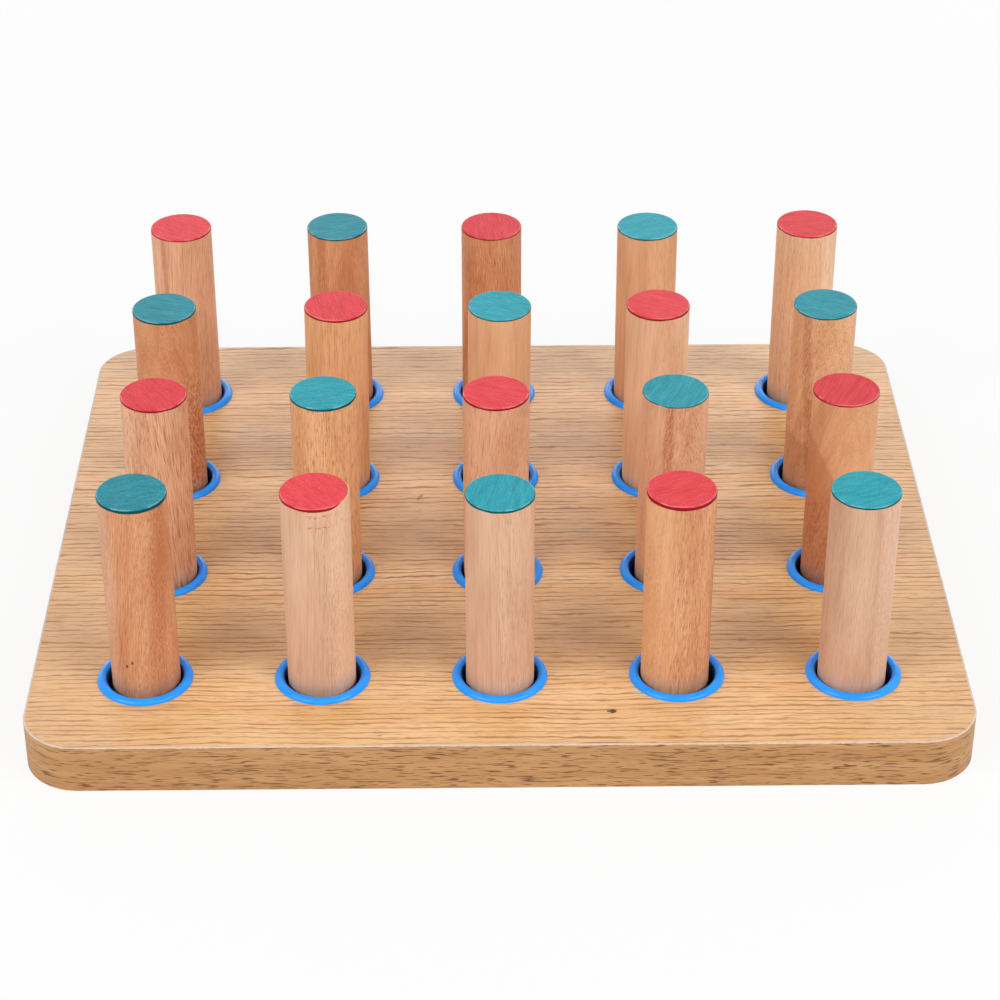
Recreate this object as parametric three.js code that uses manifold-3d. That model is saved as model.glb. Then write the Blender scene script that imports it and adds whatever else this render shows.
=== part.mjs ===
// Hand-training pegboard: a laminated board with a lined socket for each loose, painted peg.
// Sizes are in millimetres and +Z is up. The origin is the middle of the board's underside,
// +X runs along the long side and -Y is the front.
import * as THREE from "three";
import { mergeVertices } from "three/addons/utils/BufferGeometryUtils.js";
import Module from "manifold-3d";

// Board: a core of planks, one for each row of sockets, with a thin sheet on both faces
const boardWidth = 414;
const boardDepth = 348;
const cornerRadius = 25;
const coreThickness = 22;
const glueLine = 0.3;
const laminateThickness = 0.8;

// Edge band: a strip glued round the board, trimmed just short of both faces
const bandThickness = 1;
const bandSetback = 0.2;
const bandEase = 0.5;
const bandJoint = 0.3;

// Grid of blind sockets
const columns = 5;
const rows = 4;
const edgeToSocket = 50.5;
const socketFloor = 3.3;

// Pegs
const pegDiameter = 30;
const pegLength = 116;
const pegEase = 0.7;

// Socket liners: a sleeve with a half-round lip that lies on the board
const pegClearance = 1.6;
const linerWall = 1.4;
const linerClearance = 0.3;
const linerFloorGap = 2.5;
const lipWidth = 4.5;
const lipHeight = 2.1;

// Facets
const roundSides = 20;
const cornerSteps = 6;
const lipSteps = 5;
const easeSteps = 2;

// Heights
const coreBottom = laminateThickness;
const coreTop = coreBottom + coreThickness;
const boardTop = coreTop + laminateThickness;
const socketBottom = coreBottom + socketFloor;

// Radii about a socket's axis, from the peg outwards
const pegRadius = pegDiameter / 2;
const linerInside = pegRadius + pegClearance;
const linerOutside = linerInside + linerWall;
const socketRadius = linerOutside + linerClearance;

const columnPitch = (boardWidth - 2 * edgeToSocket) / (columns - 1);
const rowPitch = (boardDepth - 2 * edgeToSocket) / (rows - 1);

// Rows are lettered from the front and columns are numbered from the left.
function rowLetter(row) {
  return String.fromCharCode("a".charCodeAt(0) + row);
}

const sockets = [];
for (let row = 0; row < rows; row += 1) {
  for (let column = 0; column < columns; column += 1) {
    sockets.push({
      name: rowLetter(row) + (column + 1),
      row,
      x: (column - (columns - 1) / 2) * columnPitch,
      y: (row - (rows - 1) / 2) * rowPitch,
      teal: (row + column) % 2 === 0,
    });
  }
}

const wasm = await Module();
wasm.setup();

// A closed geometry as a solid for cutting.
function solidFrom(geometry) {
  const bare = geometry.clone();
  bare.deleteAttribute("normal");
  bare.deleteAttribute("uv");
  const merged = mergeVertices(bare);
  return new wasm.Manifold(
    new wasm.Mesh({
      numProp: 3,
      vertProperties: merged.getAttribute("position").array,
      triVerts: new Uint32Array(merged.index.array),
    }),
  );
}

// A cut solid as a geometry with flat faces.
function geometryFrom(solid) {
  const mesh = solid.getMesh();
  const indexed = new THREE.BufferGeometry();
  indexed.setAttribute("position", new THREE.BufferAttribute(mesh.vertProperties, 3));
  indexed.setIndex(new THREE.BufferAttribute(mesh.triVerts, 1));
  const geometry = indexed.toNonIndexed();
  geometry.computeVertexNormals();
  return geometry;
}

// The board's outline with its round corners, drawn in from the edge by the inset.
function boardOutline(inset) {
  const radius = cornerRadius - inset;
  const x = boardWidth / 2 - inset - radius;
  const y = boardDepth / 2 - inset - radius;
  const quarter = Math.PI / 2;
  const outline = new THREE.Shape();
  outline.absarc(x, y, radius, 0, quarter);
  outline.absarc(-x, y, radius, quarter, 2 * quarter);
  outline.absarc(-x, -y, radius, 2 * quarter, 3 * quarter);
  outline.absarc(x, -y, radius, 3 * quarter, 4 * quarter);
  return outline;
}

// A flat sheet of the given outline, with its faces at exactly these heights.
function sheet(outline, bottom, top) {
  const geometry = new THREE.ExtrudeGeometry(outline, {
    depth: top - bottom,
    bevelEnabled: false,
    curveSegments: cornerSteps / 2,
  });
  const position = geometry.getAttribute("position");
  for (let i = 0; i < position.count; i += 1) {
    position.setZ(i, position.getZ(i) > 0 ? top : bottom);
  }
  return geometry;
}

// A revolved piece standing on the XY plane. The profile holds radius and height pairs.
function turned(profile) {
  const points = profile.map(([radius, height]) => new THREE.Vector2(radius, height));
  return new THREE.LatheGeometry(points, roundSides).rotateX(Math.PI / 2);
}

// Points on an elliptical arc, from the first angle to the last.
function arcPoints(centre, across, up, from, to, steps) {
  return Array.from({ length: steps + 1 }, (_, i) => {
    const angle = from + ((to - from) * i) / steps;
    return [centre[0] + across * Math.cos(angle), centre[1] + up * Math.sin(angle)];
  });
}

// The seam between two planks lies midway between their rows, and the outer planks reach the edge band.
function plankGeometry(row) {
  const seam = (row - rows / 2) * rowPitch;
  const front = row === 0 ? -boardDepth / 2 : seam + glueLine / 2;
  const back = row === rows - 1 ? boardDepth / 2 : seam + rowPitch - glueLine / 2;
  const sawn = new THREE.BoxGeometry(boardWidth, back - front, boardTop);
  sawn.translate(0, (front + back) / 2, boardTop / 2);
  let plank = solidFrom(sheet(boardOutline(bandThickness), coreBottom, coreTop));
  plank = plank.intersect(solidFrom(sawn));
  const drillLength = 2 * (coreTop - socketBottom);
  const drill = new THREE.CylinderGeometry(socketRadius, socketRadius, drillLength, roundSides);
  drill.rotateX(Math.PI / 2);
  for (const { x, y } of sockets.filter((socket) => socket.row === row)) {
    const placed = drill.clone().translate(x, y, socketBottom + drillLength / 2);
    plank = plank.subtract(solidFrom(placed));
  }
  return geometryFrom(plank);
}

function topLaminateGeometry() {
  const outline = boardOutline(bandThickness);
  for (const { x, y } of sockets) {
    const rim = Array.from({ length: roundSides }, (_, i) => {
      const angle = (2 * Math.PI * i) / roundSides;
      return new THREE.Vector2(x + socketRadius * Math.cos(angle), y + socketRadius * Math.sin(angle));
    });
    outline.holes.push(new THREE.Path(rim));
  }
  return sheet(outline, coreTop, boardTop);
}

function baseLaminateGeometry() {
  return sheet(boardOutline(bandThickness), 0, coreBottom);
}

// The strip has a rounded trim on both outer edges, and its two ends meet at the middle of the back.
function edgeBandGeometry() {
  const bandHeight = boardTop - 2 * bandSetback;
  const block = new THREE.ExtrudeGeometry(boardOutline(bandEase), {
    depth: bandHeight - 2 * bandEase,
    bevelThickness: bandEase,
    bevelSize: bandEase,
    bevelSegments: easeSteps,
    curveSegments: cornerSteps / 2,
  }).translate(0, 0, bandSetback + bandEase);
  const inside = sheet(boardOutline(bandThickness), 0, boardTop);
  const joint = new THREE.BoxGeometry(bandJoint, 2 * bandThickness, boardTop);
  joint.translate(0, boardDepth / 2 - bandThickness / 2, boardTop / 2);
  return geometryFrom(solidFrom(block).subtract(solidFrom(inside)).subtract(solidFrom(joint)));
}

// The lip is half of an ellipse, and its flat underside lies on the board at height 0.
function linerGeometry() {
  const sleeveBottom = socketBottom + linerFloorGap - boardTop;
  const lipCentre = [linerInside + lipWidth / 2, 0];
  return turned([
    [linerInside, sleeveBottom],
    [linerOutside, sleeveBottom],
    [linerOutside, 0],
    ...arcPoints(lipCentre, lipWidth / 2, lipHeight, 0, Math.PI, lipSteps),
    [linerInside, sleeveBottom],
  ]);
}

// The paint tints the top face and fades out over the eased edge.
function pegGeometry(tint) {
  const geometry = turned([
    [0, 0],
    [pegRadius - pegEase, 0],
    [pegRadius, pegEase],
    [pegRadius, pegLength - pegEase],
    [pegRadius - pegEase, pegLength],
    [0, pegLength],
  ]);
  const position = geometry.getAttribute("position");
  const tints = new THREE.BufferAttribute(new Float32Array(position.count * 3).fill(1), 3);
  for (let i = 0; i < position.count; i += 1) {
    if (position.getZ(i) > pegLength - pegEase / 2) {
      tints.setXYZ(i, tint.r, tint.g, tint.b);
    }
  }
  geometry.setAttribute("color", tints);
  return geometry;
}

const oakPrint = { color: 0xdbb27d, roughness: 0.5, metalness: 0 };
const oakStrip = { color: 0xc2945f, roughness: 0.55, metalness: 0 };
const coreWood = { color: 0xd9bd92, roughness: 0.8, metalness: 0 };
const bluePlastic = { color: 0x2c8cf0, roughness: 0.3, metalness: 0 };
const beech = { color: 0xd6a376, roughness: 0.6, metalness: 0 };
const tealPaint = new THREE.Color(0x26898a);
const redPaint = new THREE.Color(0xd8465a);

// A paint's colour as a tint over the bare wood.
function tintOverBeech(paint) {
  const wood = new THREE.Color(beech.color);
  return new THREE.Color(paint.r / wood.r, paint.g / wood.g, paint.b / wood.b);
}

function piece(name, geometry, finish) {
  const mesh = new THREE.Mesh(geometry, new THREE.MeshStandardMaterial(finish));
  mesh.name = name;
  return mesh;
}

const pegboard = new THREE.Group();
for (let row = 0; row < rows; row += 1) {
  pegboard.add(piece("core_plank_" + rowLetter(row), plankGeometry(row), coreWood));
}
pegboard.add(piece("top_laminate", topLaminateGeometry(), oakPrint));
pegboard.add(piece("base_laminate", baseLaminateGeometry(), oakPrint));
pegboard.add(piece("edge_band", edgeBandGeometry(), oakStrip));
for (const { name, x, y, teal } of sockets) {
  const liner = piece("hole_liner_" + name, linerGeometry(), bluePlastic);
  liner.position.set(x, y, boardTop);
  const tint = tintOverBeech(teal ? tealPaint : redPaint);
  const peg = piece("peg_" + name, pegGeometry(tint), { ...beech, vertexColors: true });
  peg.position.set(x, y, socketBottom);
  pegboard.add(liner, peg);
}

export default pegboard;
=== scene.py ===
import math
import random

import bmesh
import bpy
from mathutils import Matrix, Vector


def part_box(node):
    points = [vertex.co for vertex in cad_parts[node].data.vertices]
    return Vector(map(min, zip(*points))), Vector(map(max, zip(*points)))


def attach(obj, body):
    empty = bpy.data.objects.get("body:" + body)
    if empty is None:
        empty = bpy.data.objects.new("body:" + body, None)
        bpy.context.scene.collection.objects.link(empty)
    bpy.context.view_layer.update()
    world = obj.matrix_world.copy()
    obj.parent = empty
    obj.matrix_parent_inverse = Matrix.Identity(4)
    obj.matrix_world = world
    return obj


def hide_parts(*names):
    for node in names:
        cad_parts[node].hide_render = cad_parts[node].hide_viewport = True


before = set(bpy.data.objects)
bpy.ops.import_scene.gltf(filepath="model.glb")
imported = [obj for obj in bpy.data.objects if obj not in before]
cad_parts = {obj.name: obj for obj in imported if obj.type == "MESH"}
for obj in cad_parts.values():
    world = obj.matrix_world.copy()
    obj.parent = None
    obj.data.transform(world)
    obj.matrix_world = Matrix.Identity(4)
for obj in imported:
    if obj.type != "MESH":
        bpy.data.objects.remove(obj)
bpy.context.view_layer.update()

MM = 0.001

# Sizes that the frame's boxes don't give
CORNER_RADIUS = 25 * MM
BAND_EASE = 0.5 * MM
BAND_JOINT = 0.25 * MM
PEG_CLEARANCE = 1.6 * MM
LINER_WALL = 1.4 * MM
HOLE_CLEARANCE = 0.3 * MM
PEG_EASE = 0.7 * MM
EDGE_SUPPORT = 0.25 * MM
MERGE_DISTANCE = 0.005 * MM

# Smoothness of round shapes
CORNER_STEPS = 24
HOLE_STEPS = 72
LINER_STEPS = 72
LIP_STEPS = 16
PEG_STEPS = 96
EASE_STEPS = 6
SHARP_ANGLE = math.radians(35)

# Camera, placed as the photograph was taken
CAMERA_PLACE = (-12.2 * MM, -1103.6 * MM, 741.2 * MM)
CAMERA_PITCH = math.radians(32.555)
CAMERA_YAW = math.radians(-0.719)
CAMERA_LENS = 98.67
CAMERA_SENSOR = 36.0
CAMERA_NEAR = 0.05

# Studio lamps: turn and rise from the front in degrees, distance, width and height in metres, and how
# much light each gives to a level white surface
LAMPS = {
    "left_lamp": (-49, 38, 2.6, 1.6, 0.9, 0.315),
    "right_lamp": (49, 38, 2.6, 1.6, 0.9, 0.340),
    "left_wall": (-95, 14, 2.2, 3.0, 1.0, 0.025),
    "right_wall": (95, 14, 2.2, 3.0, 1.0, 0.025),
    "back_wall": (180, 20, 2.2, 3.2, 0.8, 0.16),
}
# The sky: its light on the object, and how white it is in reflections
SKY_LEVEL = 0.225
SKY_SHEEN = 0.7
# The floor: half its length, how much plain white the camera sees in it, and the distances over which
# it fades to white altogether
FLOOR_HALF = 3.0
FLOOR_GLOW = 0.85
FLOOR_FADE = (0.5, 1.3)

# Sizes taken from the frame
band_low, band_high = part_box("edge_band")
sheet_low, sheet_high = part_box("top_laminate")
base_low, base_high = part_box("base_laminate")
peg_low, peg_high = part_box("peg_a1")
liner_low, liner_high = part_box("hole_liner_a1")
board_top = sheet_high.z
band_thickness = band_high.x - sheet_high.x
peg_radius = (peg_high.x - peg_low.x) / 2
peg_length = peg_high.z - peg_low.z
liner_inside = peg_radius + PEG_CLEARANCE
liner_outside = liner_inside + LINER_WALL
lip_outside = (liner_high.x - liner_low.x) / 2
hole_radius = liner_outside + HOLE_CLEARANCE
PLACES = sorted(name.removeprefix("peg_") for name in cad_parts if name.startswith("peg_"))


def centre_of(place):
    """The socket's axis, as a point on the floor."""
    low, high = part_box("peg_" + place)
    middle = (low + high) / 2
    return Vector((middle.x, middle.y, 0))


def colour(red, green, blue):
    """A colour as seen on a screen, 0 to 255, turned into linear light."""
    def linear(level):
        share = level / 255
        return share / 12.92 if share <= 0.04045 else ((share + 0.055) / 1.055) ** 2.4
    return (linear(red), linear(green), linear(blue), 1.0)


WHITE = (1, 1, 1, 1)
BLACK = (0, 0, 0, 1)
FLOOR_WHITE = (0.92, 0.92, 0.92, 1)

# Oak print on the two sheets
OAK_PALE = colour(244, 201, 147)
OAK_WARM = colour(236, 185, 125)
OAK_CLOUDED = colour(226, 182, 132)
# Painted shade at the board's left and right sides
OAK_SIDE_SHADE = colour(220, 172, 121)
OAK_LINE = colour(172, 117, 66)
OAK_HEAVY_LINE = colour(120, 74, 38)
OAK_THREAD = colour(178, 124, 72)
OAK_PORE = colour(140, 92, 50)
OAK_SPECK = colour(52, 27, 12)
OAK_LINE_PITCH = 3.4 * MM
OAK_THREAD_PITCH = 1.9 * MM
# Where painted shade darkens the board's print towards its left and right sides
OAK_SIDE_SHADE_FROM = (145 * MM, 190 * MM)
# Where its lines grow heavier behind the front row, partly as painted shade between the rows of pegs, and
# where they ease off again at the back
OAK_HEAVY_FROM = (-80 * MM, -40 * MM)
OAK_HEAVY_TO = (140 * MM, 90 * MM)
# Dark specks in the print: left-right and front-back place, half length and half width in mm, turn in
# degrees, and strength
OAK_SPECKS = ((48.4, -150.5, 2.2, 1.4, 0, 0.95), (-37.0, 23.5, 3.4, 1.1, 62, 0.5))
# The size of a pattern along an axis on which it hardly changes, in metres
LEVEL = 1.0

# Oak print on the edging strip
STRIP_PALE = colour(196, 148, 96)
STRIP_WARM = colour(184, 134, 82)
STRIP_THREAD = colour(150, 103, 58)
STRIP_DASH = colour(114, 72, 34)
STRIP_SCRAPED = colour(228, 212, 198)
PRINT_RELIEF = 0.03 * MM

# Sawn wood of the core
CORE_PALE = colour(224, 199, 158)
CORE_WARM = colour(208, 176, 130)
CORE_FIBRE = colour(176, 138, 92)
CORE_RELIEF = 0.06 * MM

# Plastic of the liners
BLUE_DEEP = colour(34, 151, 254)
BLUE_BRIGHT = colour(46, 161, 255)
BLUE_SCUFFED = colour(120, 190, 252)
# Painted shade for the inside of each sleeve, and a painted blue glow for the rest of the plastic
BLUE_SHADED = colour(10, 30, 92)
BLUE_PAINTED_GLOW = (0, 0.1, 1, 1)
PLASTIC_RELIEF = 0.02 * MM

# Beech tones, from pale sapwood to brown heartwood: the lighter and the darker colour of each
BEECH = {
    "blush": (colour(224, 183, 154), colour(207, 162, 131)),
    "rose": (colour(217, 176, 150), colour(201, 156, 128)),
    "cream": (colour(241, 200, 164), colour(224, 177, 139)),
    "honey": (colour(232, 182, 141), colour(214, 159, 116)),
    "tan": (colour(232, 181, 146), colour(213, 157, 121)),
    "orange": (colour(239, 187, 140), colour(221, 162, 114)),
    "amber": (colour(223, 166, 123), colour(202, 140, 97)),
    "brown": (colour(217, 157, 115), colour(197, 130, 89)),
}
PORE_BROWN = colour(142, 78, 44)
HEART_RED = colour(168, 86, 48)
# Greyish sapwood in curly figure, and painted sheen on a peg's outer side
GREY_SAP_AND_SHEEN = colour(214, 178, 156)
SAP_PALE = colour(246, 206, 170)
SAP_GOLD = colour(244, 192, 140)
# Painted sheen on a peg's outer side
PEG_SHEEN_ROSE = colour(236, 198, 172)
# Painted reflection and shade from the blue liner, low on each peg
LINER_BOUNCE_LILAC = colour(186, 164, 180)
KNOT_BROWN = colour(66, 34, 22)
BEECH_RELIEF = 0.04 * MM

# Paints: the deeper and the brighter colour of each, and the colour where it gathers at the rim
PAINTS = {
    "teal": (colour(4, 122, 138), colour(14, 170, 186), colour(2, 66, 70)),
    "red": (colour(210, 40, 52), colour(244, 68, 78), colour(140, 8, 28)),
}
# Pale mottling in the paint, and the painted highlight along the rim
PAINT_PALE_AND_HIGHLIGHT = colour(232, 222, 214)

# Each peg as it stands in the photograph: its tone, how clear its flecks are, how its grain dives,
# slants and turns in degrees, how bright its paint is and how far down it comes in mm, and where
# the peg stands in its loose socket in mm
PEGS = {
    "a1": ("brown", 0.40, (3, 7, 40), 0.25, 1.7, (0.4, 1.1)),
    "a2": ("blush", 0.30, (1, 2, 200), 0.65, 1.4, (-0.3, 1.0)),
    "a3": ("blush", 0.25, (0, -1, 15), 0.65, 1.2, (0.1, -1.1)),
    "a4": ("amber", 0.50, (2, 3, 170), 0.45, 1.8, (-0.9, 0.8)),
    "a5": ("rose", 0.15, (1, 2, 100), 0.70, 1.1, (-0.9, -0.7)),
    "b1": ("tan", 0.60, (2, -3, 10), 0.35, 1.1, (1.0, 0.7)),
    "b2": ("orange", 0.50, (1, 2, 150), 0.70, 1.3, (-0.1, 1.2)),
    "b3": ("tan", 0.30, (2, 6, 30), 0.55, 1.3, (-0.7, 0.6)),
    "b4": ("tan", 0.45, (2, 9, 80), 0.50, 0.7, (0.8, 0.9)),
    "b5": ("amber", 0.15, (10, 16, 75), 0.20, 0.9, (0.5, 1.1)),
    "c1": ("brown", 0.25, (12, -14, 95), 0.30, 1.1, (-0.3, -1.1)),
    "c2": ("orange", 0.30, (1, 2, 190), 0.50, 1.2, (1.2, 0.2)),
    "c3": ("honey", 0.12, (1, 1, 100), 0.75, 0.8, (1.1, -0.4)),
    "c4": ("cream", 0.18, (2, 2, 260), 0.50, 1.2, (-1.0, 0.0)),
    "c5": ("honey", 0.40, (11, 9, 85), 0.45, 0.8, (0.1, -0.8)),
    "d1": ("tan", 0.30, (1, 2, 340), 0.60, 0.9, (0.5, 0.7)),
    "d2": ("brown", 0.25, (3, 5, 60), 0.30, 0.9, (0.7, 1.0)),
    "d3": ("brown", 0.45, (2, -2, 130), 0.30, 0.9, (-1.1, 0.4)),
    "d4": ("honey", 0.20, (1, 1, 290), 0.80, 0.9, (-1.0, -0.6)),
    "d5": ("cream", 0.25, (1, -1, 220), 0.40, 0.8, (0.4, 1.1)),
}
# Pegs that lean to the right, and how far their upper ends are off in mm
PEG_LEANS = {"b1": 1.2, "b4": 1.1, "c2": 1.4, "c3": 0.9, "d2": -0.5, "d4": -0.4}
# Streaks along a peg: how far right of its middle and how wide in mm, slope, strength and colour
# The pale streaks on a1's left and a5's right are painted sheen on those pegs' outer sides
PEG_STREAKS = {
    "a1": (
        (9.0, 4.0, 0.05, 0.30, HEART_RED),
        (-4.0, 2.0, 0.10, 0.22, HEART_RED),
        # Painted sheen on the peg's outer side
        (-13.0, 6.0, 0.0, 0.40, GREY_SAP_AND_SHEEN),
    ),
    "a2": ((12.0, 8.0, 0.0, 0.45, SAP_PALE),),
    "a4": ((-12.0, 10.0, 0.0, 0.40, SAP_GOLD),),
    # Painted sheen on the peg's outer side
    "a5": ((12.0, 9.0, 0.0, 0.45, PEG_SHEEN_ROSE),),
    "b4": ((-4.0, 3.2, 0.02, 0.60, HEART_RED), (0.5, 6.0, 0.02, 0.20, HEART_RED)),
    "c5": ((-6.5, 3.0, -0.06, 0.45, HEART_RED),),
    "d1": ((-8.0, 1.2, 0.02, 0.40, HEART_RED),),
    "d2": ((-8.5, 3.2, 0.03, 0.45, HEART_RED),),
}
# The height at which a sloping streak is as far right as given above
STREAK_HEIGHT = board_top * 3
# How long flecks are in mm, and the pegs on which they are longer
FLECK_LENGTH = 4.5
PEG_LONG_FLECKS = {"b1": 10, "b3": 8, "c2": 8, "d1": 9}
# Curly figure: how strong it is, and the height in mm that it lies below
PEG_CURLS = {"b5": (0.35, 72), "c1": (0.6, 85)}
# Pegs whose flecks fade out on the left, and how far right of the middle in mm that happens
PEG_PLAIN = {"a2": 0, "a3": -2, "a4": -4, "b4": -3, "c3": 2, "c4": -3, "d4": 0}
# Darker heartwood below a slanting line: the line's height at the peg's middle in mm, how much it falls
# to the right, strength, and how pale the wood above it is
PEG_HEARTS = {"b5": (75, 1.67, 0.34, 0.1), "c5": (48, 0.5, 0.30, 0.0)}
# Pin knots: how far right of the peg's middle and how high above the table in mm, and their half sizes
PEG_KNOTS = {"a1": ((-6.1, 38.9), (-3.6, 41.2))}
KNOT_ACROSS = 0.55 * MM
KNOT_ALONG = 0.9 * MM
# Pegs whose paint stops short at the right, and by how much in mm
PEG_BARE = {"a2": 2.2}
# Pegs with paint rubbed below the end, in two rows, and how far down these are
PEG_SMEARS = ("a2",)
SMEAR_UPPER = 4 * MM
SMEAR_LOWER = 9.4 * MM


class Field:
    """A value that varies over a surface: a node's output, ready for arithmetic."""

    def __init__(self, nodes, socket):
        self.nodes = nodes
        self.socket = socket

    def also(self, output):
        """Another output of the same node."""
        return Field(self.nodes, self.socket.node.outputs[output])

    def math(self, operation, *operands):
        return self.nodes.add("ShaderNodeMath", {"operation": operation}, dict(enumerate(operands)))

    def __add__(self, other):
        return self.math("ADD", self, other)

    def __radd__(self, other):
        return self.math("ADD", other, self)

    def __sub__(self, other):
        return self.math("SUBTRACT", self, other)

    def __rsub__(self, other):
        return self.math("SUBTRACT", other, self)

    def __mul__(self, other):
        return self.math("MULTIPLY", self, other)

    def __rmul__(self, other):
        return self.math("MULTIPLY", other, self)

    def __truediv__(self, other):
        return self.math("DIVIDE", self, other)

    def __rtruediv__(self, other):
        return self.math("DIVIDE", other, self)

    def __pow__(self, other):
        return self.math("POWER", self, other)

    def fraction(self):
        return self.math("FRACT", self)

    def size(self):
        return self.math("ABSOLUTE", self)

    def least(self, other):
        return self.math("MINIMUM", self, other)

    def most(self, other):
        return self.math("MAXIMUM", self, other)

    def step(self, low, high):
        """0 at low, 1 at high and smooth between them. High may be the lower number."""
        rising = low < high
        first, last = (low, high) if rising else (high, low)
        ends = {"To Min": 0.0, "To Max": 1.0} if rising else {"To Min": 1.0, "To Max": 0.0}
        return self.nodes.add(
            "ShaderNodeMapRange",
            {"interpolation_type": "SMOOTHSTEP"},
            {"Value": self, "From Min": first, "From Max": last, **ends},
        )


class Nodes:
    """A node tree being filled in."""

    def __init__(self, tree):
        self.tree = tree

    def add(self, kind, settings=None, sockets=None, output=0):
        """One node: its settings first, then a value or a link for each socket."""
        node = self.tree.nodes.new(kind)
        for name, value in (settings or {}).items():
            setattr(node, name, value)
        for socket, value in (sockets or {}).items():
            self.feed(node.inputs[socket], value)
        return Field(self, node.outputs[output])

    def feed(self, socket, value):
        if isinstance(value, Field):
            self.tree.links.new(value.socket, socket)
        else:
            socket.default_value = value

    def mix(self, share, first, second):
        """A colour between two colours."""
        return self.add(
            "ShaderNodeMix",
            {"data_type": "RGBA", "clamp_factor": True},
            {0: share, 6: first, 7: second},
            output=2,
        )

    def noise(self, at, size, detail=2.0, rough=0.5, shift=0.0):
        """Noise, 0 to 1, with features of this size in metres along each axis."""
        scaled = self.add(
            "ShaderNodeMapping",
            {"vector_type": "POINT"},
            {"Vector": at, "Location": (shift, shift, shift), "Scale": [1 / s for s in size]},
        )
        return self.add(
            "ShaderNodeTexNoise",
            {"noise_dimensions": "3D"},
            {"Vector": scaled, "Scale": 1.0, "Detail": detail, "Roughness": rough},
        )

    def vector(self, x, y, z):
        return self.add("ShaderNodeCombineXYZ", {}, {"X": x, "Y": y, "Z": z})

    def split(self, vector):
        x = self.add("ShaderNodeSeparateXYZ", {}, {"Vector": vector})
        return x, x.also("Y"), x.also("Z")


class Finish(Nodes):
    """A material: nodes that feed one shader."""

    def __init__(self, name, constants):
        self.material = bpy.data.materials.new(name)
        self.material.use_nodes = True
        super().__init__(self.material.node_tree)
        self.shader = self.tree.nodes["Principled BSDF"]
        for socket, value in constants.items():
            self.shader.inputs[socket].default_value = value

    def here(self):
        """The surface point, in metres in the part's frame."""
        return self.add("ShaderNodeTexCoord", output="Object")

    def turned(self, centre, rotation):
        """The surface point about a centre, in turned axes."""
        return self.add(
            "ShaderNodeMapping",
            {"vector_type": "TEXTURE"},
            {"Vector": self.here(), "Location": centre, "Rotation": rotation},
        )

    def spun(self, vector, turn):
        """A vector turned about the upright axis."""
        return self.add(
            "ShaderNodeMapping",
            {"vector_type": "POINT"},
            {"Vector": vector, "Rotation": (0, 0, turn)},
        )

    def dress(self, base, roughness, height, depth):
        """Feeds the shader: colour, roughness, and a height that stands up by the depth."""
        self.feed(self.shader.inputs["Base Color"], base)
        self.feed(self.shader.inputs["Roughness"], roughness)
        bump = self.add("ShaderNodeBump", {}, {"Height": height, "Distance": depth, "Strength": 1.0})
        self.feed(self.shader.inputs["Normal"], bump)
        return self.material


def off_line(level, pitch):
    """How far a level is from the middle of a line, from 0 to 1, where lines repeat at this pitch."""
    return ((level / pitch).fraction() - 0.5).size() * 2


def oak_print():
    """Printed oak on the two sheets: dark wavy lines along the board's length."""
    made = Finish("oak_print", {"IOR": 1.5, "Coat Weight": 0.1, "Coat Roughness": 0.3})
    point = made.here()
    x, y, z = made.split(point)
    sway = made.noise(point, (95 * MM, 40 * MM, LEVEL), detail=1.0) - 0.5
    ripple = made.noise(point, (8 * MM, 4 * MM, LEVEL), detail=1.0, shift=3.0) - 0.5
    crowd = made.noise(point, (260 * MM, 7 * MM, LEVEL), detail=1.0, shift=5.0) - 0.5
    level = y + sway * (6 * MM) + ripple * (1.7 * MM) + crowd * (4 * MM)
    flowing = made.vector(x, level, z)
    bands = made.noise(flowing, (210 * MM, 13 * MM, LEVEL), detail=2.0, shift=23.0)
    patches = made.noise(point, (90 * MM, 60 * MM, LEVEL), detail=1.0, shift=31.0)
    base = made.mix(bands.step(0.3, 0.7), OAK_PALE, OAK_WARM)
    base = made.mix(patches.step(0.4, 0.75) * 0.4, base, OAK_CLOUDED)
    # Painted shade towards the left and right sides
    base = made.mix(x.size().step(*OAK_SIDE_SHADE_FROM) * 0.5, base, OAK_SIDE_SHADE)

    # Long lines, finer threads between them and short pores
    weight = made.noise(flowing, (24 * MM, 1.6 * MM, LEVEL), detail=2.0, shift=7.0)
    lines = off_line(level, OAK_LINE_PITCH).step(0.40, 0.12) * weight.step(0.32, 0.62)
    thread_weight = made.noise(flowing, (15 * MM, 0.8 * MM, LEVEL), detail=1.5, shift=11.0)
    threads = off_line(level + ripple * (1.2 * MM), OAK_THREAD_PITCH).step(0.55, 0.15)
    threads = threads * thread_weight.step(0.42, 0.68)
    pores = made.noise(flowing, (7 * MM, 0.5 * MM, LEVEL), detail=1.0, shift=17.0).step(0.39, 0.28)
    # Heavier lines between the rows of pegs: partly print, partly painted shade
    heavy_lines_and_shade = y.step(*OAK_HEAVY_FROM) * y.step(*OAK_HEAVY_TO)
    base = made.mix(lines * 0.9, base, OAK_LINE)
    base = made.mix(lines * heavy_lines_and_shade * 0.35, base, OAK_HEAVY_LINE)
    base = made.mix(threads * 0.55, base, OAK_THREAD)
    base = made.mix(pores * 0.5, base, OAK_PORE)

    # Specks with ragged edges
    ragged = made.noise(point, (1.2 * MM, 1.2 * MM, LEVEL), detail=2.0, shift=41.0) - 0.5
    for speck_x, speck_y, half_length, half_width, turn, strength in OAK_SPECKS:
        speck = made.turned((speck_x * MM, speck_y * MM, 0), (0, 0, math.radians(turn)))
        along, over = made.split(speck)[:2]
        along, over = along / (half_length * MM), over / (half_width * MM)
        near = along * along + over * over + ragged * 2.4
        base = made.mix(near.step(1.3, 0.4) * strength, base, OAK_SPECK)
    rough = 0.40 + lines * 0.10 + (patches - 0.5) * 0.06
    return made.dress(base, rough, threads * -0.4 - lines * 0.6, PRINT_RELIEF)


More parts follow.
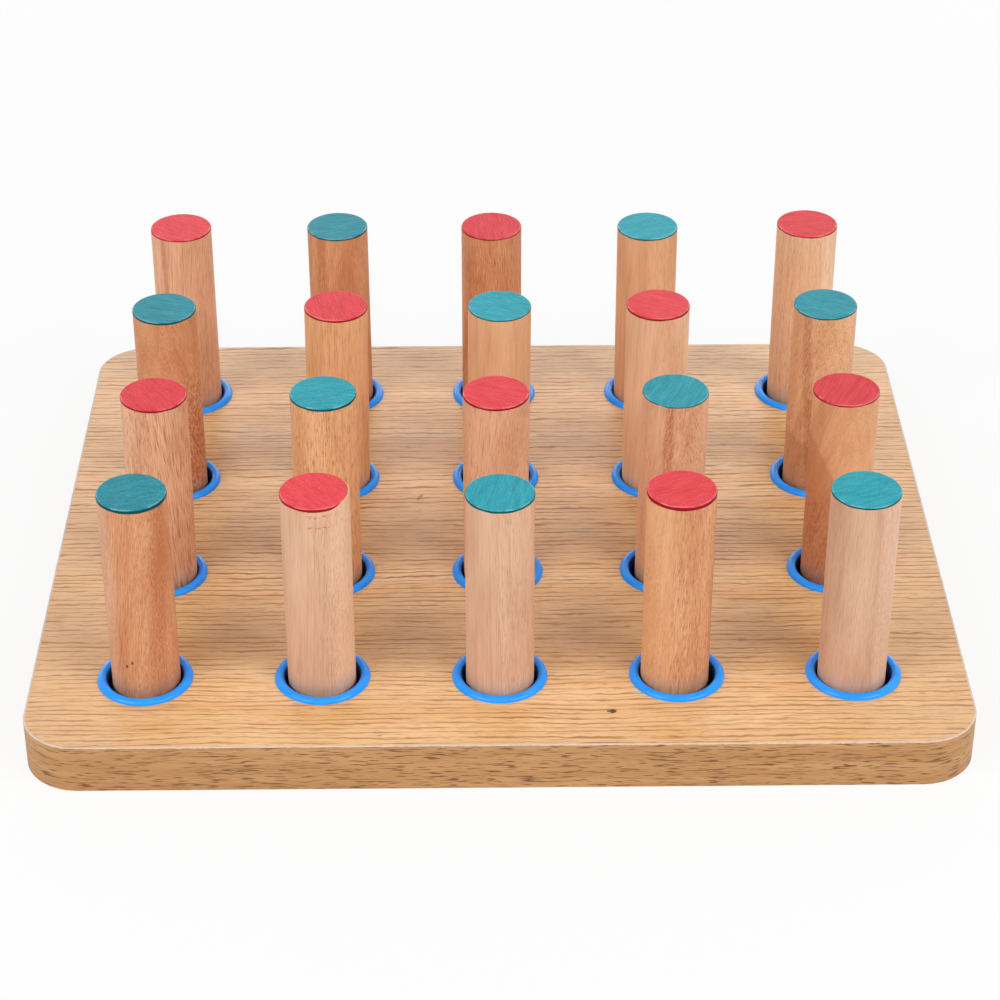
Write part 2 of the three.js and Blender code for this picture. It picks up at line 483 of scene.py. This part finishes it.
def oak_strip(top, bottom):
    """Printed oak on the edging strip: short dark dashes, and a scraped line at its trimmed edges."""
    made = Finish("oak_strip", {"IOR": 1.46, "Coat Weight": 0.05, "Coat Roughness": 0.4})
    point = made.here()
    x, y, z = made.split(point)
    sway = made.noise(point, (45 * MM, 45 * MM, 9 * MM), detail=1.0) - 0.5
    ripple = made.noise(point, (7 * MM, 7 * MM, 3 * MM), detail=1.0, shift=3.0) - 0.5
    level = z + sway * (4 * MM) + ripple * (0.4 * MM)
    flowing = made.vector(x, y, level)
    bands = made.noise(flowing, (120 * MM, 120 * MM, 5 * MM), detail=1.0, shift=13.0)
    threads = made.noise(flowing, (14 * MM, 14 * MM, 0.45 * MM), detail=1.0, shift=9.0)
    dashes = made.noise(flowing, (8 * MM, 8 * MM, 0.6 * MM), detail=1.0, shift=5.0)
    base = made.mix(bands.step(0.3, 0.7), STRIP_PALE, STRIP_WARM)
    base = made.mix(threads.step(0.46, 0.34) * 0.45, base, STRIP_THREAD)
    base = made.mix(dashes.step(0.43, 0.345) * 0.95, base, STRIP_DASH)
    ragged = made.noise(point, (2.5 * MM, 2.5 * MM, 2.5 * MM), detail=3.0, rough=0.7, shift=19.0) - 0.5
    from_edge = (top - z).least(z - bottom)
    scraped = (from_edge + ragged * (0.9 * MM)).step(0.42 * MM, 0.2 * MM)
    base = made.mix(scraped * 0.8, base, STRIP_SCRAPED)
    return made.dress(base, 0.46 + scraped * 0.2, dashes * 0.5 + threads * 0.5, PRINT_RELIEF)


def core_wood():
    """Plain sawn wood inside the sockets."""
    made = Finish("core_wood", {"IOR": 1.4})
    point = made.here()
    fibres = made.noise(point, (18 * MM, 0.6 * MM, 0.6 * MM), detail=3.0, rough=0.6)
    clouds = made.noise(point, (60 * MM, 9 * MM, 9 * MM), detail=2.0, shift=5.0)
    base = made.mix(clouds.step(0.3, 0.7), CORE_PALE, CORE_WARM)
    base = made.mix(fibres.step(0.5, 0.3) * 0.5, base, CORE_FIBRE)
    return made.dress(base, 0.75 + fibres * 0.15, fibres, CORE_RELIEF)


def blue_plastic():
    """Glossy bright plastic of the socket liners, with flow marks and scuffs, painted shade down the inside
    of each sleeve and a faint painted blue glow on the rest.
    """
    made = Finish("blue_plastic", {
        "IOR": 1.5,
        "Specular IOR Level": 0.2,
        "Coat Weight": 0.1,
        "Coat Roughness": 0.12,
        # Strength of the painted glow
        "Emission Strength": 0.1,
    })
    point = made.here()
    x, y = made.split(point)[:2]
    first, pitch = centre_of("a1"), centre_of("b2") - centre_of("a1")
    off_x = ((x - first.x) / pitch.x + 0.5).fraction() - 0.5
    off_y = ((y - first.y) / pitch.y + 0.5).fraction() - 0.5
    from_axis = ((off_x * pitch.x) ** 2 + (off_y * pitch.y) ** 2) ** 0.5
    # Painted shade down the inside of each sleeve
    sleeve = from_axis.step(liner_inside + 0.9 * MM, liner_inside + 0.15 * MM)
    flow = made.noise(point, (9 * MM, 9 * MM, 3 * MM), detail=2.0)
    scuffs = made.noise(point, (3 * MM, 0.4 * MM, 1.5 * MM), detail=3.0, rough=0.65, shift=4.0)
    base = made.mix(flow.step(0.3, 0.7), BLUE_DEEP, BLUE_BRIGHT)
    base = made.mix(scuffs.step(0.66, 0.78) * 0.25, base, BLUE_SCUFFED)
    base = made.mix(sleeve * 0.85, base, BLUE_SHADED)
    # A faint painted blue glow everywhere but the sleeve's inside
    made.feed(made.shader.inputs["Emission Color"], made.mix(sleeve, BLUE_PAINTED_GLOW, BLACK))
    rough = 0.30 + (flow - 0.5) * 0.1 + scuffs.step(0.6, 0.8) * 0.15 + sleeve * 0.3
    return made.dress(base, rough, flow + scuffs * 0.3, PLASTIC_RELIEF)


class BeechPeg(Finish):
    """Clear-finished beech with a painted upper end, as it is on one peg."""

    def __init__(self, place, centre, paint):
        super().__init__("beech_" + place, {"IOR": 1.47, "Specular IOR Level": 0.1, "Coat Roughness": 0.12})
        self.place = place
        self.paint = PAINTS[paint]
        self.tone, self.fleck_share, grain_turns, self.paint_level, self.paint_end = PEGS[place][:-1]
        draw = random.Random(PLACES.index(place))
        self.pith = draw.uniform(40, 90) * MM
        self.ring_width = draw.uniform(2.4, 4.2) * MM
        self.brush = draw.uniform(0, math.pi)
        self.shift = draw.uniform(0, 50)

        # Places about the peg's own axis, and along its grain
        self.local = self.turned(centre, (0, 0, 0))
        side, self.front, self.height = self.split(self.local)
        lean = PEG_LEANS.get(place, 0) * MM / peg_length
        self.side = side - (self.height - peg_low.z) * lean
        self.below_end = peg_high.z - self.height - self.side * lean
        dive, slant, turn = (math.radians(angle) for angle in grain_turns)
        self.grain = self.spun(self.turned(centre, (dive, slant, 0)), turn)
        self.wobble = self.along_grain(14, 110, 2.0, 0) - 0.5
        self.clouds = self.along_grain(11, 60, 1.0, 3)
        self.fibres = self.along_grain(0.36, 14, 2.0, 7)
        self.flecks = self.grain_flecks()

    def along_grain(self, width, length, detail, shift):
        """Noise drawn out along the grain, with features of this width and length in mm."""
        size = (width * MM, width * MM, length * MM)
        return self.noise(self.grain, size, detail=detail, shift=self.shift + shift)

    def all_round(self, width, detail, shift):
        """Noise with features of this width in mm along each axis."""
        size = (width * MM, width * MM, width * MM)
        return self.noise(self.local, size, detail=detail, shift=self.shift + shift)

    def grain_flecks(self):
        """Short dark flecks in loose crowds, which fade out on the left of some pegs."""
        dashes = self.along_grain(0.28, PEG_LONG_FLECKS.get(self.place, FLECK_LENGTH), 0.5, 11)
        crowding = self.along_grain(7, 30, 1.0, 13) - 0.5
        flecks = (dashes + crowding * 0.14).step(0.585, 0.655)
        if self.place not in PEG_PLAIN:
            return flecks
        edge = PEG_PLAIN[self.place]
        return flecks * (self.side + self.wobble * (6 * MM)).step((edge - 4) * MM, (edge + 4) * MM)

    def bare_wood(self):
        """Growth rings about a far pith, with stripes, fibres and flecks along the grain."""
        light, dark = BEECH[self.tone]
        x, y = self.split(self.grain)[:2]
        across = x + self.pith
        uneven = self.along_grain(3, 150, 1.0, 2) - 0.5
        from_pith = (across * across + y * y) ** 0.5 + self.wobble * (4 * MM) + uneven * (3 * MM)
        latewood = (from_pith / self.ring_width).fraction() ** 3.0
        stripes = self.along_grain(1.5, 45, 2.0, 5)
        depth = self.clouds * 0.70 + stripes * 0.20 + latewood * 0.12
        wood = self.mix(depth.step(0.28, 0.72), light, dark)
        wood = self.mix(self.fibres.step(0.50, 0.28) * (0.12 + 0.45 * self.fleck_share), wood, HEART_RED)
        wood = self.mix(self.fibres.step(0.53, 0.75) * 0.32, wood, SAP_PALE)
        return self.mix(self.flecks * self.fleck_share, wood, PORE_BROWN)

    def with_figure(self, wood):
        """Adds curly figure and heartwood, on the pegs that have them."""
        if self.place in PEG_CURLS:
            strength, curl_top = PEG_CURLS[self.place]
            curls = self.along_grain(0.9, 2.4, 2.0, 31)
            under = (self.height + self.wobble * (30 * MM)).step((curl_top + 8) * MM, (curl_top - 8) * MM)
            curled = under * strength
            wood = self.mix(curls.step(0.56, 0.34) * curled, wood, HEART_RED)
            wood = self.mix(curls.step(0.55, 0.66) * curled, wood, GREY_SAP_AND_SHEEN)
        if self.place in PEG_HEARTS:
            heart_height, fall, strength, paleness = PEG_HEARTS[self.place]
            over_line = self.height - heart_height * MM + self.side * fall + self.wobble * (9 * MM)
            wood = self.mix(over_line.step(1 * MM, -4 * MM) * strength, wood, HEART_RED)
            wood = self.mix(over_line.step(-2 * MM, 10 * MM) * paleness, wood, SAP_GOLD)
        return wood

    def with_marks(self, wood):
        """Adds streaks, a few of them painted sheen, and pin knots, and a painted lilac reflection and
        shade from the blue liner just above its lip.
        """
        # Most streaks are the wood's own; a few are painted sheen
        for streak_side, streak_width, slope, strength, tint in PEG_STREAKS.get(self.place, ()):
            middle = streak_side * MM + (self.height - STREAK_HEIGHT) * slope + self.wobble * (5 * MM)
            band = (self.side - middle).size().step(streak_width * MM, streak_width * 0.3 * MM)
            mottled = self.along_grain(0.6, 2.5, 1.0, 41).step(0.3, 0.7)
            wood = self.mix(band * strength * (mottled * 0.8 + 0.4), wood, tint)
        for knot_side, knot_height in PEG_KNOTS.get(self.place, ()):
            away_side = (self.side - knot_side * MM) / KNOT_ACROSS
            away_up = (self.height - knot_height * MM) / KNOT_ALONG
            near = (away_side * away_side + away_up * away_up).step(1.4, 0.4)
            wood = self.mix(near * self.front.step(0.0, -1 * MM) * 0.85, wood, KNOT_BROWN)
        # Painted lilac reflection and shade from the blue liner, just above its lip
        over_board = self.height - board_top
        at_lip = over_board.step(8 * MM, 2 * MM) * over_board.step(-4 * MM, -1 * MM)
        return self.mix(at_lip * (0.02 + self.clouds * 0.16), wood, LINER_BOUNCE_LILAC)

    def with_smears(self, wood):
        """Adds two rows of paint rubbed on below the end."""
        smears = self.noise(self.local, (1.3 * MM, 1.3 * MM, 0.5 * MM), detail=1.0, shift=self.shift + 37)
        upper_row = (self.below_end - SMEAR_UPPER).size().step(1.0 * MM, 0.4 * MM)
        lower_row = (self.below_end - SMEAR_LOWER).size().step(0.6 * MM, 0.25 * MM)
        zone = upper_row.most(lower_row)
        zone = zone * self.side.step(-4 * MM, -1 * MM) * self.side.step(10 * MM, 7 * MM)
        return self.mix(smears.step(0.48, 0.62) * zone * 0.8, wood, self.paint[0])

    def paint_cover(self, past_edge):
        """Where paint covers the wood: it wraps over the eased edge and stops at an uneven line."""
        reach = self.all_round(8, 1.0, 17) - 0.5
        jitter = self.all_round(0.8, 2.0, 19) - 0.5
        line = past_edge - reach * (0.8 * MM) - jitter * (0.2 * MM)
        if self.place in PEG_BARE:
            line = line + self.side.step(7 * MM, 15 * MM) * (PEG_BARE[self.place] * MM)
        return line.step((self.paint_end + 0.1) * MM, (self.paint_end - 0.1) * MM)

    def paint_coat(self, past_edge, strokes, broad):
        """The paint's colour: brushed and mottled, with a painted highlight along the rim, and darker where
        it gathers past it.
        """
        deep, bright, gathered = self.paint
        mottle = self.all_round(0.7, 2.0, 31)
        coat = self.mix(self.paint_level + (strokes - 0.5) * 0.8 + (broad - 0.5) * 0.8, deep, bright)
        coat = self.mix((mottle * 0.6 + strokes * 0.4 - 0.46) * 0.42, coat, PAINT_PALE_AND_HIGHLIGHT)
        # Painted highlight along the rim, broken in places
        rim_highlight = (past_edge + 0.4 * MM).size().step(0.3 * MM, 0.05 * MM) * broad.step(0.42, 0.62)
        coat = self.mix(rim_highlight * 0.3, coat, PAINT_PALE_AND_HIGHLIGHT)
        return self.mix(past_edge.step(0, 0.45 * MM) * 0.95, coat, gathered)

    def finished(self):
        """The material, with paint over wood and a glossy bead of paint at the front of the rim."""
        wood = self.with_marks(self.with_figure(self.bare_wood()))
        if self.place in PEG_SMEARS:
            wood = self.with_smears(wood)
        from_axis = (self.side * self.side + self.front * self.front) ** 0.5
        past_edge = self.below_end - (peg_radius - from_axis)
        painted = self.paint_cover(past_edge)
        brushed = self.spun(self.local, self.brush)
        strokes = self.noise(brushed, (0.42 * MM, 10 * MM, 10 * MM), detail=2.0, shift=self.shift + 23)
        broad = self.noise(brushed, (3 * MM, 9 * MM, 9 * MM), detail=2.0, shift=self.shift + 29)
        base = self.mix(painted, wood, self.paint_coat(past_edge, strokes, broad))
        rough = 0.50 + (self.fibres - 0.5) * 0.12 - painted * 0.06
        bead = past_edge.step(-1.0 * MM, -0.6 * MM) * past_edge.step(0.35 * MM, 0.05 * MM)
        bead = bead * self.front.step(3 * MM, -7 * MM)
        self.feed(self.shader.inputs["Coat Weight"], painted * bead * broad.step(0.35, 0.55))
        relief = self.fibres * 0.5 - self.flecks * 0.5 + painted * (strokes * 0.5 + 0.8)
        return self.dress(base, rough, relief, BEECH_RELIEF)


def outline_face(bm, inset, height):
    """The board's outline drawn in by the inset, as one flat face at this height."""
    made = bmesh.ops.create_grid(bm, x_segments=1, y_segments=1, size=1)
    half = Vector((band_high.x - inset, band_high.y - inset, 1))
    bmesh.ops.scale(bm, vec=half, verts=made["verts"])
    bmesh.ops.translate(bm, vec=(0, 0, height), verts=made["verts"])
    bmesh.ops.bevel(
        bm,
        geom=made["verts"],
        offset=CORNER_RADIUS - inset,
        offset_type="OFFSET",
        affect="VERTICES",
        segments=CORNER_STEPS,
        profile=0.5,
        material=-1,
    )
    return bm.faces[:][-1]


def thicken(bm, faces, rise):
    """Raises a copy of flat faces, so that they become a closed sheet."""
    raised = bmesh.ops.extrude_face_region(bm, geom=faces, use_keep_orig=True)
    verts = [v for v in raised["geom"] if isinstance(v, bmesh.types.BMVert)]
    bmesh.ops.translate(bm, vec=(0, 0, rise), verts=verts)
    bmesh.ops.recalc_face_normals(bm, faces=bm.faces[:])


def top_sheet():
    """The upper sheet with a round hole for each socket."""
    bm = bmesh.new()
    face = outline_face(bm, band_thickness, sheet_low.z)
    bmesh.ops.delete(bm, geom=[face], context="FACES_ONLY")
    for place in PLACES:
        at = centre_of(place) + Vector((0, 0, sheet_low.z))
        bmesh.ops.create_circle(
            bm, cap_ends=False, radius=hole_radius, segments=HOLE_STEPS, matrix=Matrix.Translation(at)
        )
    bmesh.ops.triangle_fill(bm, use_beauty=True, edges=bm.edges[:], normal=(0, 0, 1))
    thicken(bm, bm.faces[:], sheet_high.z - sheet_low.z)
    return bm


def base_sheet():
    """The plain sheet under the board."""
    bm = bmesh.new()
    face = outline_face(bm, band_thickness, base_low.z)
    thicken(bm, [face], base_high.z - base_low.z)
    return bm


def edge_strip():
    """A strip round the board with eased outer edges, whose ends meet at the middle of the back."""
    bm = bmesh.new()
    face = outline_face(bm, 0, band_low.z)
    thicken(bm, [face], band_high.z - band_low.z)
    rims = [e for e in bm.edges if abs(e.verts[0].co.z - e.verts[1].co.z) < EDGE_SUPPORT]
    bmesh.ops.bevel(
        bm,
        geom=rims,
        offset=BAND_EASE,
        offset_type="OFFSET",
        affect="EDGES",
        segments=EASE_STEPS,
        profile=0.5,
        material=-1,
    )
    caps = sorted(bm.faces, key=lambda f: len(f.verts))[-2:]
    bmesh.ops.inset_region(bm, faces=caps, thickness=band_thickness - BAND_EASE, use_even_offset=True)
    rings = [e for cap in caps for e in cap.edges]
    bmesh.ops.delete(bm, geom=caps, context="FACES_ONLY")
    bmesh.ops.bridge_loops(bm, edges=rings)
    half_joint = BAND_JOINT / 2
    for cut in (-half_joint, half_joint):
        everything = bm.verts[:] + bm.edges[:] + bm.faces[:]
        bmesh.ops.bisect_plane(bm, geom=everything, plane_co=(cut, 0, 0), plane_no=(1, 0, 0))
    middles = [(f, f.calc_center_median()) for f in bm.faces]
    sliver = [f for f, middle in middles if abs(middle.x) < half_joint and middle.y > 0]
    bmesh.ops.delete(bm, geom=sliver, context="FACES")
    bmesh.ops.holes_fill(bm, edges=[e for e in bm.edges if e.is_boundary], sides=0)
    bmesh.ops.recalc_face_normals(bm, faces=bm.faces[:])
    return bm


def arc(centre, across, up, start, end, steps):
    """Points on an elliptical arc, as radius and height pairs."""
    angles = [start + (end - start) * i / steps for i in range(steps + 1)]
    return [(centre[0] + across * math.cos(a), centre[1] + up * math.sin(a)) for a in angles]


def revolve(profile, centre, steps):
    """A profile of radius and height pairs, spun round a vertical axis."""
    bm = bmesh.new()
    verts = [bm.verts.new((centre.x + radius, centre.y, height)) for radius, height in profile]
    edges = [bm.edges.new(pair) for pair in zip(verts, verts[1:])]
    bmesh.ops.spin(
        bm,
        geom=verts + edges,
        cent=(centre.x, centre.y, 0),
        axis=(0, 0, 1),
        angle=2 * math.pi,
        steps=steps,
        use_merge=True,
    )
    bmesh.ops.remove_doubles(bm, verts=bm.verts[:], dist=MERGE_DISTANCE)
    bmesh.ops.recalc_face_normals(bm, faces=bm.faces[:])
    return bm


def turned_peg(centre, lean):
    """A round peg with eased ends, whose upper end is off to the right by the lean."""
    low, high, radius = peg_low.z, peg_high.z, peg_radius
    inner = radius - PEG_EASE
    quarter = math.pi / 2
    profile = [(0, low), (inner - EDGE_SUPPORT, low)]
    profile += arc((inner, low + PEG_EASE), PEG_EASE, PEG_EASE, -quarter, 0, EASE_STEPS)
    profile += [(radius, low + PEG_EASE + EDGE_SUPPORT), (radius, high - PEG_EASE - EDGE_SUPPORT)]
    profile += arc((inner, high - PEG_EASE), PEG_EASE, PEG_EASE, 0, quarter, EASE_STEPS)
    profile += [(inner - EDGE_SUPPORT, high), (0, high)]
    bm = revolve(profile, centre, PEG_STEPS)
    turn = Matrix.Rotation(math.atan2(lean, peg_length), 3, "Y")
    bmesh.ops.rotate(bm, cent=(centre.x, centre.y, low), matrix=turn, verts=bm.verts[:])
    return bm


def socket_liner(centre):
    """A sleeve with a half-round lip that lies on the top sheet."""
    lip_half = (lip_outside - liner_inside) / 2
    lip_rise = liner_high.z - board_top
    lip = arc((liner_inside + lip_half, board_top), lip_half, lip_rise, 0, math.pi, LIP_STEPS)
    bottom = liner_low.z
    profile = [(liner_inside, bottom), (liner_outside, bottom), (liner_outside, board_top)]
    profile += lip + [(liner_inside, bottom)]
    return revolve(profile, centre, LINER_STEPS)


def add_piece(name, bm, material, body, node):
    """Turns a finished mesh into a piece that rides on a body in place of its solid."""
    for face in bm.faces:
        face.smooth = True
    for edge in bm.edges:
        edge.smooth = edge.calc_face_angle(math.pi) < SHARP_ANGLE
    mesh = bpy.data.meshes.new(name)
    bm.to_mesh(mesh)
    bm.free()
    mesh.materials.append(material)
    piece = bpy.data.objects.new(name, mesh)
    bpy.context.scene.collection.objects.link(piece)
    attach(piece, body)
    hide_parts(node)


def add_board():
    """The two sheets and the edging strip. The core's planks keep their solids and get a finish."""
    oak = oak_print()
    strip = oak_strip(band_high.z, band_low.z)
    add_piece("oak_top_sheet", top_sheet(), oak, "board", "top_laminate")
    add_piece("oak_base_sheet", base_sheet(), oak, "board", "base_laminate")
    add_piece("oak_edge_strip", edge_strip(), strip, "board", "edge_band")
    wood = core_wood()
    for name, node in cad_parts.items():
        if name.startswith("core_plank_"):
            node.data.materials.clear()
            node.data.materials.append(wood)


def add_sockets_and_pegs():
    """A liner in each socket and a loose peg in each liner, painted teal and red in turn."""
    plastic = blue_plastic()
    for place in PLACES:
        centre = centre_of(place)
        liner = "hole_liner_" + place
        add_piece("socket_liner_" + place, socket_liner(centre), plastic, "board", liner)
        row, column = ord(place[0]) - ord("a"), int(place[1:]) - 1
        paint = "teal" if (row + column) % 2 == 0 else "red"
        axis = centre + Vector((*PEGS[place][-1], 0)) * MM
        peg = "peg_" + place
        bm = turned_peg(axis, PEG_LEANS.get(place, 0) * MM)
        beech = BeechPeg(place, axis, paint).finished()
        add_piece("beech_" + peg, bm, beech, peg, peg)


def add_camera():
    """A camera at the photograph's viewing angle."""
    data = bpy.data.cameras.new("photo_camera")
    data.lens = CAMERA_LENS
    data.sensor_width = CAMERA_SENSOR
    data.clip_start = CAMERA_NEAR
    camera = bpy.data.objects.new("photo_camera", data)
    camera.location = CAMERA_PLACE
    camera.rotation_euler = (math.pi / 2 - CAMERA_PITCH, 0, CAMERA_YAW)
    bpy.context.scene.collection.objects.link(camera)
    bpy.context.scene.camera = camera


def add_lamps():
    """Two large soft lamps at the front, a faint wall of light on each side and a brighter one behind."""
    aim = Vector((0, 0, board_top))
    for name, (turn, rise, distance, width, height, level) in LAMPS.items():
        turn, rise = math.radians(turn), math.radians(rise)
        out = math.cos(rise)
        away = Vector((math.sin(turn) * out, -math.cos(turn) * out, math.sin(rise)))
        data = bpy.data.lights.new(name, "AREA")
        data.shape = "RECTANGLE"
        data.size = width
        data.size_y = height
        data.energy = level * math.pi**2 * distance**2 / math.sin(rise)
        lamp = bpy.data.objects.new(name, data)
        lamp.location = aim + away * distance
        lamp.rotation_euler = away.to_track_quat("Z", "Y").to_euler()
        lamp.visible_camera = False
        bpy.context.scene.collection.objects.link(lamp)


def add_sky():
    """Even white light from all round, and plain white where the camera sees it."""
    world = bpy.data.worlds.new("white_studio")
    bpy.context.scene.world = world
    world.use_nodes = True
    sky = Nodes(world.node_tree)
    path = sky.add("ShaderNodeLightPath", output="Is Camera Ray")
    seen = path.most(path.also("Is Glossy Ray") * SKY_SHEEN)
    background = world.node_tree.nodes["Background"]
    background.inputs["Color"].default_value = WHITE
    sky.feed(background.inputs["Strength"], SKY_LEVEL + seen * (1 - SKY_LEVEL))


def add_floor():
    """A plain white floor that keeps the board's shadow and fades to white further off."""
    bm = bmesh.new()
    bmesh.ops.create_grid(bm, x_segments=1, y_segments=1, size=FLOOR_HALF)
    mesh = bpy.data.meshes.new("studio_floor")
    bm.to_mesh(mesh)
    bm.free()
    floor = bpy.data.objects.new("studio_floor", mesh)
    bpy.context.scene.collection.objects.link(floor)
    white = Finish("white_floor", {"Base Color": FLOOR_WHITE, "Roughness": 0.9})
    seen = white.add("ShaderNodeLightPath", output="Is Camera Ray")
    glow = white.add("ShaderNodeEmission", {}, {"Color": WHITE, "Strength": 1.0})
    lit = Field(white, white.shader.outputs["BSDF"])
    x, y = white.split(white.here())[:2]
    far_off = ((x * x + y * y) ** 0.5).step(*FLOOR_FADE)
    share = seen * (FLOOR_GLOW + far_off * (1 - FLOOR_GLOW))
    both = white.add("ShaderNodeMixShader", {}, {0: share, 1: lit, 2: glow})
    white.feed(white.tree.nodes["Material Output"].inputs["Surface"], both)
    mesh.materials.append(white.material)


add_camera()
add_board()
add_sockets_and_pegs()
add_lamps()
add_sky()
add_floor()
bpy.context.scene.view_settings.view_transform = "Standard"
